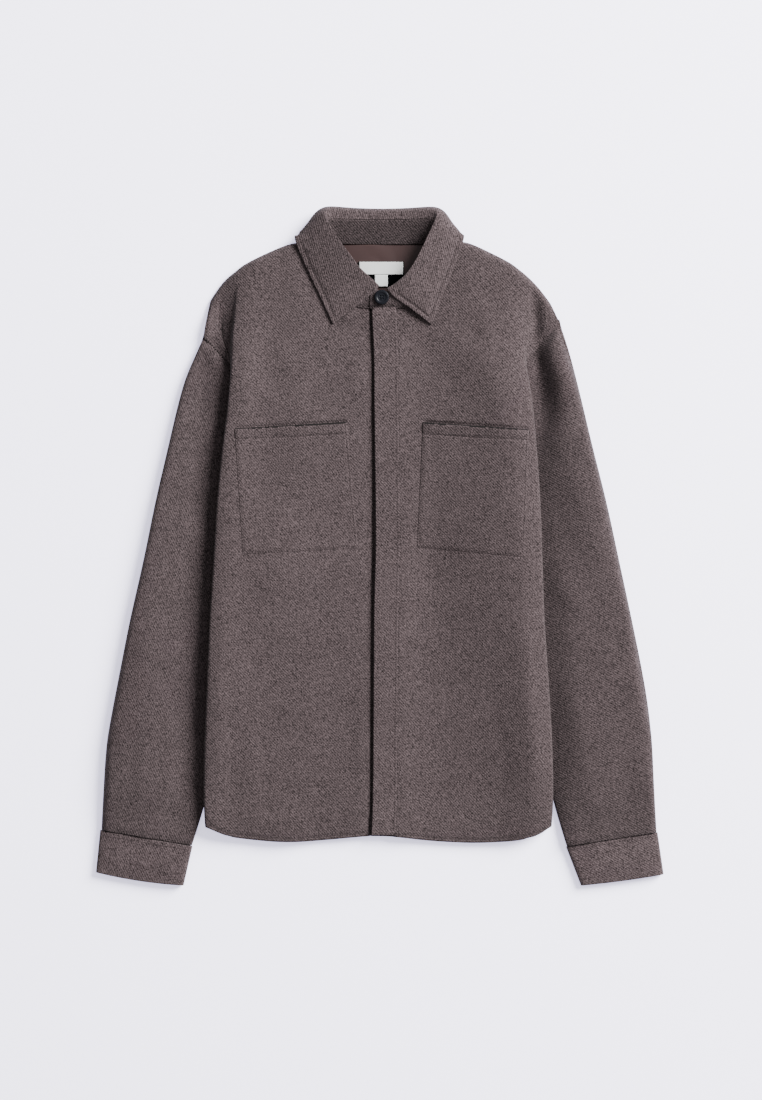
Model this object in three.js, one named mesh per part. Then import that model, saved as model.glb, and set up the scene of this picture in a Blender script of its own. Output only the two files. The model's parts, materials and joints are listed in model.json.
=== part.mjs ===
// Wool overshirt laid on its back, buttoned at the neck, with the sides of its body turned under
// and its sleeves drawn down beside it. Millimetres, +Z up, +Y towards the collar, +X to the
// viewer's right, the surface it lies on at Z = 0.
import * as THREE from "three";

// Cloth and clearances
const CLOTH = 2.4; // wall of the brushed wool twill
const COLLAR_CLOTH = 1.9; // pressed collar wall
const LINING = 1.0; // satin yoke lining with its backing
const LABEL = 0.7;
const GAP = 0.3; // at seams
const PLY_GAP = 0.45; // between plies that lie on each other
const ARMHOLE_GAP = 0.5; // of the front to the slanting armhole seam, measured level

// Heights of the middle of each ply
const FLOOR_PLY = CLOTH / 2;
const SLEEVE_LOW = 2 * CLOTH - FLOOR_PLY + 0.5; // upper ply of a sleeve where the body lies on it
const SLEEVE_HIGH = SLEEVE_LOW + 3.2; // upper ply of a sleeve where it shows
const OVER_SLEEVE = SLEEVE_LOW + CLOTH + PLY_GAP + 0.15; // body ply that lies on a sleeve
const FRONT_LOW = 6.0; // fronts along the centre line
const FRONT_HIGH = OVER_SLEEVE + CLOTH + 3.8; // fronts where they lie over the sleeves
const CHEST_HIGH = 11.4; // fronts beside the shoulders
const LAP = CLOTH + 0.6; // step up where one front laps over the other
const COLLAR_RAISE = 2.1; // lift of what lies on the fronts

// Cut sizes
const TURN_UNDER = 28; // width of front turned under at the side
const BAND_WIDTH = 28.5; // front band
const BAND_CLOTH = 1.4;
const LAP_UNDER = 18; // how far the lower front runs past the centre line
const SHOULDER_ROLL = 5; // drop of the fronts over the shoulder edge
const SLEEVE_RISE = 26; // distance over which a sleeve rises beside the body
const LIFT_FROM = 60; // a ply starts to rise this far short of a sleeve below it
const LIFT_TO = 24; // and is up on it here
const UNDERARM = 120; // height of the hidden underarms up the garment
const YOKE_LIFT_FROM = 185; // the back starts to rise this far up the garment
const YOKE_LIFT_TO = 140; // and is up on the sleeves from here down
const BUTTON_RADIUS = 9; // 28 ligne
const BUTTON_HEIGHT = 2.6;
const BUTTON_TILT = -0.05; // it follows the slope of the stand under it

// Side folds of the body and outer edge of the sleeves, a row for each height up the garment
const SIDES = [
  { y: 345, foldLeft: -167, foldRight: 160, outLeft: -167, outRight: 160 },
  { y: 313, foldLeft: -170, foldRight: 161, outLeft: -191, outRight: 185 },
  { y: 292, foldLeft: -172.6, foldRight: 161, outLeft: -204, outRight: 203 },
  { y: 250, foldLeft: -176.6, foldRight: 168, outLeft: -211.5, outRight: 222 },
  { y: 205, foldLeft: -179, foldRight: 178, outLeft: -232, outRight: 234.5 },
  { y: 165, foldLeft: -182.5, foldRight: 184, outLeft: -243, outRight: 244.5 },
  { y: 126, foldLeft: -187.5, foldRight: 187.5, outLeft: -252, outRight: 253.5 },
  { y: 55, foldLeft: -195, foldRight: 192.5, outLeft: -268.5, outRight: 271.5 },
  { y: -17, foldLeft: -199, foldRight: 195, outLeft: -283, outRight: 287 },
  { y: -89, foldLeft: -204, foldRight: 197.5, outLeft: -299.5, outRight: 302.5 },
  { y: -178, foldLeft: -207.5, foldRight: 203.5, outLeft: -317, outRight: 320 },
  { y: -233, foldLeft: -210, foldRight: 206.5, outLeft: -328, outRight: 326.5 },
  { y: -305, foldLeft: -211.3, foldRight: 208, outLeft: -332, outRight: 329 },
  { y: -341, foldLeft: -209, foldRight: 206, outLeft: -334, outRight: 332 },
];

// Upper edge of each front, from the centre along the neck and the shoulder to the armhole
const TOP_EDGE = [
  { x: -20, left: 284, right: 284 },
  { x: 13, left: 284, right: 284 },
  { x: 30, left: 285.5, right: 285.5 },
  { x: 50, left: 297, right: 297 },
  { x: 65, left: 320, right: 320 },
  { x: 74, left: 342, right: 342 },
  { x: 81, left: 357, right: 358 },
  { x: 90, left: 365, right: 366 },
  { x: 103, left: 363.5, right: 364.5 },
  { x: 126, left: 355, right: 354.5 },
  { x: 167, left: 334.5, right: 333 },
  { x: 184, left: 322, right: 318 },
  { x: 197, left: 304, right: 303 },
  { x: 208, left: 280, right: 285 },
  { x: 211.5, left: 251, right: 277 },
  { x: 218, left: 250, right: 263.5 },
];

// Lower edge of the body
const HEM = [
  { x: -211, y: -336 },
  { x: -194, y: -344 },
  { x: -165, y: -349.5 },
  { x: -109, y: -354 },
  { x: -60, y: -351 },
  { x: -10, y: -346.5 },
  { x: 20, y: -347.5 },
  { x: 60, y: -352.5 },
  { x: 130, y: -355.5 },
  { x: 166, y: -354 },
  { x: 193, y: -348 },
  { x: 208, y: -338.5 },
];

// Edge of the front band, which wanders a little
const BAND_EDGE = [
  { y: 284, x: -10 },
  { y: 229, x: -7.4 },
  { y: 175, x: -7 },
  { y: 1, x: -5.2 },
  { y: -65, x: -7 },
  { y: -305, x: -8.8 },
  { y: -347, x: -10.4 },
];

// Sleeves from the armhole to the cuff seam: height of the outer edge, and the inner edge
const SLEEVE_LEFT = [
  { v: 0, outY: 250, inX: -100, inY: UNDERARM },
  { v: 0.12, outY: 196, inX: -112, inY: 78 },
  { v: 0.25, outY: 130, inX: -127, inY: 20 },
  { v: 0.4, outY: 50, inX: -146, inY: -52 },
  { v: 0.55, outY: -30, inX: -165, inY: -124 },
  { v: 0.7, outY: -112, inX: -182, inY: -196 },
  { v: 0.82, outY: -186, inX: -196, inY: -254 },
  { v: 0.92, outY: -262, inX: -209, inY: -308 },
  { v: 1, outY: -339.6, inX: -224.8, inY: -358.8 },
];
const SLEEVE_RIGHT = [
  { v: 0, outY: 263.5, inX: 100, inY: UNDERARM },
  { v: 0.12, outY: 202, inX: 112, inY: 78 },
  { v: 0.25, outY: 130, inX: 127, inY: 20 },
  { v: 0.4, outY: 50, inX: 146, inY: -52 },
  { v: 0.55, outY: -30, inX: 165, inY: -124 },
  { v: 0.7, outY: -112, inX: 182, inY: -196 },
  { v: 0.82, outY: -186, inX: 196, inY: -254 },
  { v: 0.92, outY: -262, inX: 208, inY: -308 },
  { v: 1, outY: -342.5, inX: 223.4, inY: -359.4 },
];

// Cuffs: corners at the seam and at the open end, and how far the open end bows out
const CUFFS = {
  left: {
    seamOut: [-335.4, -340], seamIn: [-224, -359.6],
    endOut: [-340.5, -390.5], endIn: [-234.6, -406.4], bow: 2.6,
  },
  right: {
    seamOut: [333.2, -342.9], seamIn: [222.6, -360.1],
    endOut: [340.5, -393], endIn: [240.5, -406.6], bow: 1.2,
  },
};

// Largest soft folds of the fronts: a line along each, its half width and its depth
const FOLDS = [
  { fromX: 144, fromY: 10, toX: 172, toY: -300, width: 20, depth: -1.6 },
  { fromX: 110, fromY: -20, toX: 124, toY: -320, width: 26, depth: 0.9 },
  { fromX: -128, fromY: -110, toX: -122, toY: -300, width: 24, depth: -1.3 },
  { fromX: -160, fromY: 200, toX: -150, toY: 330, width: 16, depth: 1.2 },
  { fromX: 118, fromY: 330, toX: 142, toY: 180, width: 18, depth: 1.3 },
];

// Collar, a row for each section from the centre back to the leaf's front edge: the seam with the
// stand, the roll, the middle and the fall of the leaf, its free edge, and the stand's lower edge
const COLLAR_LEFT = [
  {
    seam: [1, 389.8, 12.4], roll: [1, 399.6, 12.2], mid: [1, 403, 6.6],
    fall: [1, 395, 1.4], edge: [1, 368.5, 1], foot: [1, 361.5, 3.7],
  },
  {
    seam: [-34, 390, 13.6], roll: [-36, 400.4, 13.2], mid: [-37, 404.4, 7],
    fall: [-38, 396, 1.4], edge: [-38, 368.5, 1], foot: [-34, 361.8, 3.8],
  },
  {
    seam: [-57, 390.5, 16.3], roll: [-61, 401, 17.5], mid: [-66, 406, 9],
    fall: [-70, 397, 2], edge: [-72, 369.5, 1.2], foot: [-55, 363, 5],
  },
  {
    seam: [-65, 385, 18.8], roll: [-66, 395.5, 21.5], mid: [-80, 394, 14],
    fall: [-86, 384, 5], edge: [-87, 371, 2.6], foot: [-70, 364.5, 8.5],
  },
  {
    seam: [-63, 377, 19.2], roll: [-59.3, 380.9, 22.6], mid: [-79, 381, 18.5],
    fall: [-94, 377, 11], edge: [-98.5, 370.5, 7.5], foot: [-78, 360, 12.4],
  },
  {
    seam: [-52, 359.5, 18.8], roll: [-47.2, 362.4, 22.4], mid: [-66, 363, 19.5],
    fall: [-86, 364, 15.6], edge: [-101.5, 365, 12.4], foot: [-76, 345, 11.8],
  },
  {
    seam: [-39.5, 343, 17.4], roll: [-34.6, 345.6, 21], mid: [-55, 337, 17.6],
    fall: [-74, 331, 14], edge: [-85, 327, 11.8], foot: [-68, 325, 11],
  },
  {
    seam: [-29.5, 329, 15.4], roll: [-24.5, 331.2, 19], mid: [-44, 318, 15.6],
    fall: [-61, 305, 12.4], edge: [-71, 298, 10.9], foot: [-55, 302, 10.2],
  },
  {
    seam: [-17, 318, 12.8], roll: [-12, 320.2, 16.4], mid: [-32, 304, 13.8],
    fall: [-48, 286, 11.6], edge: [-58.5, 270, 9.8], foot: [-38, 288.5, 9.6],
  },
  {
    seam: [-4, 307.6, 12], roll: [-0.8, 309.6, 15], mid: [-14, 297.6, 14.6],
    fall: [-33, 282.5, 12], edge: [-56, 265.5, 9.4], foot: [-14, 284, 9.2],
  },
];
const COLLAR_RIGHT = [
  {
    seam: [36, 390, 13.6], roll: [38, 400.4, 13.2], mid: [39, 404.2, 7],
    fall: [40, 396, 1.4], edge: [40, 368.5, 1], foot: [36, 361.8, 3.8],
  },
  {
    seam: [59, 390.5, 16.3], roll: [63, 401, 17.5], mid: [69, 405.4, 9],
    fall: [73, 397, 2], edge: [75, 369.5, 1.2], foot: [57, 363, 5],
  },
  {
    seam: [67, 385, 18.8], roll: [68.6, 395, 21.5], mid: [81, 393.4, 14],
    fall: [87, 384, 5], edge: [88, 371, 2.6], foot: [72, 364.5, 8.5],
  },
  {
    seam: [66, 376.5, 19.2], roll: [62.1, 379.7, 22.6], mid: [80, 381, 18.5],
    fall: [94, 378, 11], edge: [98, 371, 7.5], foot: [80, 360, 12.6],
  },
  {
    seam: [59.5, 360.5, 18.8], roll: [54.8, 363.6, 22.4], mid: [71, 364, 19.5],
    fall: [88, 365, 15.6], edge: [100.4, 366, 12.4], foot: [78, 345, 12.2],
  },
  {
    seam: [49.4, 340.5, 17.6], roll: [44.6, 343.2, 21.2], mid: [62, 337, 17.8],
    fall: [79, 333, 14.2], edge: [88, 331, 11.8], foot: [70, 325, 12],
  },
  {
    seam: [38.5, 324, 16.2], roll: [33.8, 326.4, 19.8], mid: [52, 316, 16.6],
    fall: [67, 304.5, 13], edge: [74.6, 298, 11], foot: [58, 302, 12],
  },
  {
    seam: [27, 313, 14.4], roll: [22.6, 315.4, 18], mid: [41, 302, 16.4],
    fall: [55, 286, 13.2], edge: [64.4, 271, 10], foot: [42, 288.5, 12],
  },
  {
    seam: [13.6, 305, 13], roll: [8.6, 307, 15.4], mid: [17, 297, 15.6],
    fall: [37, 283.5, 14.2], edge: [61.6, 264.8, 9.6], foot: [18, 283.4, 11.9],
  },
];
// Ends of the stand past the leaves: the left end lies under the right one, which is buttoned
const STAND_END_LEFT = { seam: [10, 304, 9.6], foot: [10.5, 284, 9.3] };
const STAND_END_RIGHT = { seam: [-11.2, 306.4, 11.9], foot: [-12.2, 283.4, 11.7] };

// Breast pockets: corners, top edge dipping slightly at its middle, mouth standing a little open
const POCKETS = {
  left: { topIn: [-39.4, 148.4], topOut: [-173, 139.8], lowIn: [-26.2, -2.4], lowOut: [-163.5, -9.6] },
  right: { topIn: [51.4, 148], topOut: [178, 138.8], lowIn: [44.6, -1.2], lowOut: [172.5, -13.2] },
};
const POCKET_CLOTH = 1.6;
const POCKET_MOUTH = 1.5; // how far the mouth stands off the front

// Neck labels, bare: left, right, top and bottom edges and the height of the middle
const LABELS = {
  label_black: { left: -26, right: 29, top: 340.5, bottom: 309.8, height: 4.7, colour: 0x151417 },
  label_white: { left: -24.8, right: 27.8, top: 340.2, bottom: 325.2, height: 5.7, colour: 0xdcdad8 },
  label_size_tab: { left: -5.9, right: 9.5, top: 324.8, bottom: 310.8, height: 5.7, colour: 0xdcdad8 },
};
const LINING_EDGES = { left: -70, right: 72, top: 359.5, bottom: 286 };
const LINING_HEIGHT = 2 * FLOOR_PLY + GAP + LINING / 2;

const WOOL = { color: 0x675d5e, roughness: 0.95, metalness: 0 };
const SATIN = { color: 0x5a474a, roughness: 0.45, metalness: 0 };

const lerp = THREE.MathUtils.lerp;

// Soft step from 0 at the first limit to 1 at the second, whichever of them is higher
function smooth(value, from, to) {
  const t = THREE.MathUtils.clamp((value - from) / (to - from), 0, 1);
  return t * t * (3 - 2 * t);
}

// Smooth curve through a table: one column, where another column has the value given
function follow(table, by, where, column) {
  const last = table.length - 1;
  const rising = Math.sign(table[last][by] - table[0][by]);
  let i = 0;
  while (i < last - 1 && (where - table[i + 1][by]) * rising > 0) i += 1;
  const before = table[Math.max(i - 1, 0)];
  const a = table[i];
  const b = table[i + 1];
  const after = table[Math.min(i + 2, last)];
  const span = b[by] - a[by];
  const t = THREE.MathUtils.clamp((where - a[by]) / span, 0, 1);
  const slopeA = ((b[column] - before[column]) / (b[by] - before[by])) * span;
  const slopeB = ((after[column] - a[column]) / (after[by] - a[by])) * span;
  const t2 = t * t;
  const t3 = t2 * t;
  const fromA = (2 * t3 - 3 * t2 + 1) * a[column] + (t3 - 2 * t2 + t) * slopeA;
  return fromA + (3 * t2 - 2 * t3) * b[column] + (t3 - t2) * slopeB;
}

// Closed wall of even thickness round a grid of middle points, as a tube where it closes on itself
function thicken(grid, thickness, closed) {
  const rows = grid.length;
  const columns = grid[0].length;
  const point = (i, j) => {
    const row = grid[THREE.MathUtils.clamp(i, 0, rows - 1)];
    return closed ? row[(j + columns) % columns] : row[THREE.MathUtils.clamp(j, 0, columns - 1)];
  };
  const positions = [];
  for (const side of [1, -1]) {
    for (let i = 0; i < rows; i += 1) {
      for (let j = 0; j < columns; j += 1) {
        const along = point(i + 1, j).clone().sub(point(i - 1, j));
        const across = point(i, j + 1).clone().sub(point(i, j - 1));
        const normal = across.cross(along).normalize();
        const p = point(i, j).clone().addScaledVector(normal, (side * thickness) / 2);
        positions.push(p.x, p.y, p.z);
      }
    }
  }
  const index = [];
  const skin = rows * columns;
  const quad = (a, b, c, d) => index.push(a, b, c, a, c, d);
  const across = closed ? columns : columns - 1;
  for (let i = 0; i < rows - 1; i += 1) {
    for (let j = 0; j < across; j += 1) {
      const a = i * columns + j;
      const b = i * columns + ((j + 1) % columns);
      quad(a, b, b + columns, a + columns);
      quad(skin + a, skin + a + columns, skin + b + columns, skin + b);
    }
  }
  for (let j = 0; j < across; j += 1) {
    const next = (j + 1) % columns;
    const end = (rows - 1) * columns;
    quad(j, skin + j, skin + next, next);
    quad(end + j, end + next, skin + end + next, skin + end + j);
  }
  for (let i = 0; i < rows - 1 && !closed; i += 1) {
    const a = i * columns;
    const b = a + columns - 1;
    quad(a, a + columns, skin + a + columns, skin + a);
    quad(b, skin + b, skin + b + columns, b + columns);
  }
  const geometry = new THREE.BufferGeometry();
  geometry.setAttribute("position", new THREE.Float32BufferAttribute(positions, 3));
  geometry.setIndex(faceOut(positions, index));
  return geometry;
}

// Turns every face over when the body they close has a negative volume
function faceOut(positions, index) {
  const corner = (k) => new THREE.Vector3().fromArray(positions, 3 * index[k]);
  let volume = 0;
  for (let k = 0; k < index.length; k += 3) {
    volume += corner(k).dot(corner(k + 1).cross(corner(k + 2)));
  }
  if (volume > 0) return index;
  const turned = [];
  for (let k = 0; k < index.length; k += 3) turned.push(index[k], index[k + 2], index[k + 1]);
  return turned;
}

const group = new THREE.Group();

function addPiece(name, geometry, finish) {
  const mesh = new THREE.Mesh(geometry, new THREE.MeshStandardMaterial(finish));
  mesh.name = name;
  group.add(mesh);
  return mesh;
}

// The two sides of the garment as the viewer sees them
const LEFT = { sign: -1, fold: "foldLeft", out: "outLeft", top: "left", sleeve: SLEEVE_LEFT };
const RIGHT = { sign: 1, fold: "foldRight", out: "outRight", top: "right", sleeve: SLEEVE_RIGHT };

// Distances from the centre line at a height up the garment
const foldAt = (side, y) => Math.abs(follow(SIDES, "y", y, side.fold));
const outAt = (side, y) => Math.abs(follow(SIDES, "y", y, side.out));
const sleeveInAt = (side, y) => Math.abs(follow(side.sleeve, "inY", y, "inX"));

// Armhole seam, straight from the shoulder to the underarm hidden below the body
function armholeAt(side, y) {
  const start = side.sleeve[0];
  const out = outAt(side, start.outY);
  const slope = (out - Math.abs(start.inX)) / (start.outY - start.inY);
  return out - (start.outY - y) * slope;
}

// Middle of a sleeve's upper ply: low under the body, rising beside it
function sleeveHeight(side, x, y) {
  const beside = Math.abs(x) - foldAt(side, y);
  return lerp(SLEEVE_LOW, SLEEVE_HIGH, smooth(beside, 0, SLEEVE_RISE));
}

// Middle of a ply that lies on the surface and rises over the hidden part of a sleeve
function underHeight(side, far, y) {
  return lerp(FLOOR_PLY, OVER_SLEEVE, smooth(far - sleeveInAt(side, y), -LIFT_FROM, -LIFT_TO));
}

// Middle of the back, which stays on the surface above the underarms
function backHeight(side, far, y) {
  return lerp(FLOOR_PLY, underHeight(side, far, y), smooth(y, YOKE_LIFT_FROM, YOKE_LIFT_TO));
}

// Soft folds pressed into the fronts
function foldHeight(x, y) {
  let height = 0;
  for (const fold of FOLDS) {
    const line = new THREE.Line3(
      new THREE.Vector3(fold.fromX, fold.fromY, 0),
      new THREE.Vector3(fold.toX, fold.toY, 0),
    );
    const near = line.closestPointToPoint(new THREE.Vector3(x, y, 0), true, new THREE.Vector3());
    const away = near.distanceTo(new THREE.Vector3(x, y, 0)) / fold.width;
    height += fold.depth * Math.exp(-away * away);
  }
  return height;
}

// Middle of a front between the centre line and its side fold
function frontHeight(side, x, y) {
  const far = Math.abs(x);
  const overSleeve = smooth(far - sleeveInAt(side, y), -95, 12);
  const high = lerp(FRONT_HIGH, CHEST_HIGH, smooth(y, 150, 240));
  const lap = side === RIGHT ? LAP * (1 - smooth(x, 22, 46)) : 0;
  return lerp(FRONT_LOW, high, overSleeve) + lap + foldHeight(x, y);
}

// Height of the upper edge of a front at a distance from the centre line
const topAt = (side, far) => follow(TOP_EDGE, "x", far, side.top);
const hemAt = (x) => follow(HEM, "x", x, "y");

// Outer end of a front's section: the shoulder's edge, the armhole seam, then the side seam
function frontEndAt(side, y) {
  const seam = armholeAt(side, y) - ARMHOLE_GAP;
  return Math.max(Math.min(seam, outAt(side, side.sleeve[0].outY)), foldAt(side, y) - TURN_UNDER);
}

// A front past its side fold: w runs from the fold to the armhole or side seam. High up the cloth
// dips and rises to the shoulder, lower down it rolls over and is turned under.
function pastFold(side, w, y) {
  const crest = foldAt(side, y) - CLOTH / 2;
  const top = frontHeight(side, side.sign * crest, y);
  const end = frontEndAt(side, y);
  const under = underHeight(side, crest, y);
  const radius = (top - under) / 2;
  const start = crest - radius;
  const shoulder = lerp(8.6, sleeveHeight(side, end, y), smooth(y, 300, 262));
  const dip = 3.4 * smooth(y, 335, 275) * Math.sin(Math.PI * Math.min(w * 1.25, 1));
  const open = { far: lerp(start, end, w), height: lerp(top, shoulder, smooth(w, 0, 0.75)) - dip };
  const bend = Math.min(w / 0.55, 1) * Math.PI;
  const tail = Math.max((w - 0.55) / 0.45, 0);
  const rolledFar = lerp(start + radius * Math.sin(bend), Math.min(end, start), tail);
  const rolledHeight = tail > 0 ? underHeight(side, rolledFar, y) : top - radius * (1 - Math.cos(bend));
  const rolled = smooth(y, 246, 208);
  const far = lerp(open.far, rolledFar, rolled);
  return new THREE.Vector3(side.sign * far, y, lerp(open.height, rolledHeight, rolled));
}

// Distances of the first and last rows of a front from its upper edge and its hem
const TOP_STEPS = [0, 1.6, 4.2, 9];
const HEM_STEPS = [5, 1.8, 0];
const FRONT_ROWS = 21;
const FRONT_COLUMNS = 12;
const FOLD_COLUMNS = [0.14, 0.28, 0.42, 0.56, 0.78, 1];

function frontRows(top, bottom) {
  const heights = TOP_STEPS.map((step) => top - step);
  for (let k = 1; k < FRONT_ROWS; k += 1) {
    heights.push(lerp(top - TOP_STEPS.at(-1), bottom + HEM_STEPS[0], k / FRONT_ROWS));
  }
  return heights.concat(HEM_STEPS.map((step) => bottom + step));
}

// Cloth rolls down over the shoulder's edge and a little at the hem
function edgeDrop(far, fromTop, fromHem) {
  const roll = Math.max(1 - fromTop / 8, 0);
  const shoulder = SHOULDER_ROLL * roll * roll * smooth(far, 92, 108);
  const hem = 1.6 * Math.max(1 - fromHem / 5, 0) ** 2;
  return shoulder + hem;
}

function makeFront(side) {
  const inner = (y) => (side === LEFT ? LAP_UNDER : follow(BAND_EDGE, "y", y, "x"));
  const between = (u, y) => {
    const crest = foldAt(side, y) - CLOTH / 2;
    const radius = (frontHeight(side, side.sign * crest, y) - underHeight(side, crest, y)) / 2;
    return lerp(inner(y), side.sign * (crest - radius), u);
  };
  const columns = [];
  for (let j = 0; j <= FRONT_COLUMNS; j += 1) {
    const u = j / FRONT_COLUMNS;
    let top = 300;
    for (let k = 0; k < 12; k += 1) top = topAt(side, side.sign * between(u, top));
    const bottom = hemAt(between(u, -345));
    columns.push(frontRows(top - CLOTH / 2, bottom).map((y) => {
      const x = between(u, y);
      const drop = edgeDrop(Math.abs(x), top - CLOTH / 2 - y, y - bottom);
      return new THREE.Vector3(x, y, frontHeight(side, x, y) - drop);
    }));
  }
  for (const w of FOLD_COLUMNS) {
    const shoulder = outAt(side, side.sleeve[0].outY);
    const far = lerp(foldAt(side, 320), shoulder, w);
    const top = w < 1 ? topAt(side, far) - CLOTH / 2 : side.sleeve[0].outY + 0.8;
    const bottom = hemAt(side.sign * (foldAt(side, -330) - 4 - 20 * Math.max(w - 0.5, 0)));
    columns.push(frontRows(top, bottom).map((y) => {
      const p = pastFold(side, w, y);
      p.z = Math.max(p.z - edgeDrop(far, top - y, y - bottom) * (w < 1 ? 1 : 0), FLOOR_PLY);
      return p;
    }));
  }
  const grid = columns[0].map((_, i) => columns.map((column) => column[i]));
  return thicken(grid, CLOTH, false);
}

// Back, narrower than the body by what the fronts turn under
function makeBack() {
  const rows = 24;
  const columns = 18;
  const edgeAt = (side, y) => {
    const sideSeam = frontEndAt(side, y) - 0.5;
    const armhole = Math.min(armholeAt(side, y) - 17, outAt(side, y) - 11);
    return lerp(sideSeam, armhole, smooth(y, UNDERARM - 10, UNDERARM + 6));
  };
  const topOf = (x) => {
    const far = Math.abs(x);
    const shoulder = topAt(x < 0 ? LEFT : RIGHT, Math.max(far, 92)) - 9;
    return lerp(359.5, shoulder, smooth(far, 60, 92));
  };
  const grid = [];
  for (let i = 0; i <= rows; i += 1) {
    grid.push([]);
    for (let j = 0; j <= columns; j += 1) {
      const across = (2 * j) / columns - 1;
      const side = across < 0 ? LEFT : RIGHT;
      let y = 320;
      let x = 0;
      for (let k = 0; k < 8; k += 1) {
        x = side.sign * Math.abs(across) * edgeAt(side, y);
        y = lerp(topOf(x), hemAt(x) + 2, i / rows);
      }
      grid[i].push(new THREE.Vector3(x, y, backHeight(side, Math.abs(x), y)));
    }
  }
  return thicken(grid, CLOTH, false);
}

// Flattened tube: a lower ply on the surface and an upper ply, joined by a rounded fold each side
function makeFlatTube(outer, inner, rows, across, height, bow) {
  const grid = [];
  for (let i = 0; i <= rows; i += 1) {
    const v = i / rows;
    const from = outer(v);
    const to = inner(v);
    const along = to.clone().sub(from);
    const length = along.length();
    along.normalize();
    const ahead = new THREE.Vector2(along.y, -along.x).multiplyScalar(Math.sign(to.x - from.x));
    const place = (run, z) => {
      const s = run / length;
      const p = from.clone().addScaledVector(along, run).addScaledVector(ahead, 4 * bow * v * s * (1 - s));
      return new THREE.Vector3(p.x, p.y, z);
    };
    const radiusAt = (p) => (height(p.x, p.y) - FLOOR_PLY) / 2;
    const outRadius = radiusAt(from);
    const inRadius = radiusAt(to);
    const first = CLOTH / 2 + outRadius;
    const lastRun = length - CLOTH / 2 - inRadius;
    const ring = [];
    for (let k = 0; k <= across; k += 1) ring.push(place(lerp(first, lastRun, k / across), FLOOR_PLY));
    for (const bend of [0.25, 0.5, 0.75]) {
      const angle = bend * Math.PI;
      ring.push(place(lastRun + inRadius * Math.sin(angle), FLOOR_PLY + inRadius * (1 - Math.cos(angle))));
    }
    for (let k = across; k >= 0; k -= 1) {
      const p = place(lerp(first, lastRun, k / across), 0);
      p.z = k === across ? FLOOR_PLY + 2 * inRadius : height(p.x, p.y);
      ring.push(p);
    }
    for (const bend of [0.75, 0.5, 0.25]) {
      const angle = bend * Math.PI;
      ring.push(place(first - outRadius * Math.sin(angle), FLOOR_PLY + outRadius * (1 - Math.cos(angle))));
    }
    grid.push(ring);
  }
  return thicken(grid, CLOTH, true);
}

function makeSleeve(side) {
  const outer = (v) => {
    const y = follow(side.sleeve, "v", v, "outY");
    return new THREE.Vector2(side.sign * outAt(side, y), y);
  };
  const inner = (v) => {
    const x = follow(side.sleeve, "v", v, "inX");
    return new THREE.Vector2(x, follow(side.sleeve, "v", v, "inY"));
  };
  return makeFlatTube(outer, inner, 18, 8, (x, y) => sleeveHeight(side, x, y), 0);
}

function makeCuff(size) {
  const corner = (name) => new THREE.Vector2().fromArray(size[name]);
  const outer = (v) => corner("seamOut").lerp(corner("endOut"), v);
  const inner = (v) => corner("seamIn").lerp(corner("endIn"), v);
  return makeFlatTube(outer, inner, 4, 9, () => SLEEVE_HIGH + 0.3, size.bow);
}

// Band down the edge of the upper front
function makeBand() {
  const grid = [];
  for (let i = 0; i <= 24; i += 1) {
    const y = lerp(281.5, -345.5, i / 24);
    const edge = follow(BAND_EDGE, "y", y, "x") + 0.6;
    grid.push([0, 1, 2, 3].map((k) => {
      const x = edge + (BAND_WIDTH * k) / 3;
      return new THREE.Vector3(x, y, frontHeight(RIGHT, x, y) + CLOTH / 2 + PLY_GAP + BAND_CLOTH / 2);
    }));
  }
  return thicken(grid, BAND_CLOTH, false);
}

// Patch pocket that follows its front, with its mouth a little open
function makePocket(side, size) {
  const corner = (name) => new THREE.Vector2().fromArray(size[name]);
  const grid = [];
  for (let i = 0; i <= 8; i += 1) {
    const v = i / 8;
    grid.push([]);
    for (let j = 0; j <= 8; j += 1) {
      const u = j / 8;
      const low = corner("lowIn").lerp(corner("lowOut"), u);
      const p = corner("topIn").lerp(corner("topOut"), u).lerp(low, v);
      const open = POCKET_MOUTH * (1 - v) ** 4 * Math.sin(Math.PI * u);
      const lift = (CLOTH + POCKET_CLOTH) / 2 + PLY_GAP + open;
      grid[i].push(new THREE.Vector3(p.x, p.y, frontHeight(side, p.x, p.y) + lift));
    }
  }
  return thicken(grid, POCKET_CLOTH, false);
}

// The collar's table has heights for thin cloth: the middle of the real wall lies higher, most of
// all where it lies on the fronts
const collarHeight = (z) => z + COLLAR_CLOTH / 2 - 0.8 + COLLAR_RAISE * smooth(z, 3, 9);

// Point on one line of the collar, from the left leaf round the back to the right leaf
function collarLine(name, rows) {
  const points = rows.map((row) => {
    const [x, y, z] = row[name];
    return new THREE.Vector3(x, y, collarHeight(z));
  });
  return new THREE.CatmullRomCurve3(points, false, "catmullrom", 0.5);
}

// Places across a leaf, closer together round the roll
const LEAF_COLUMNS = [0, 0.1, 0.18, 0.24, 0.3, 0.38, 0.5, 0.62, 0.75, 0.88, 1];
const COLLAR_ROWS = [...COLLAR_LEFT].reverse().concat(COLLAR_RIGHT);

function makeLeaves() {
  const steps = 2 * (COLLAR_ROWS.length - 1);
  const lines = ["seam", "roll", "mid", "fall", "edge"].map((name) => collarLine(name, COLLAR_ROWS));
  const grid = [];
  for (let i = 0; i <= steps; i += 1) {
    const corners = lines.map((line) => line.getPoint(i / steps));
    const section = new THREE.CatmullRomCurve3(corners, false, "catmullrom", 0.4);
    grid.push(LEAF_COLUMNS.map((t) => section.getPoint(t)));
  }
  return thicken(grid, COLLAR_CLOTH, false);
}

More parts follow.
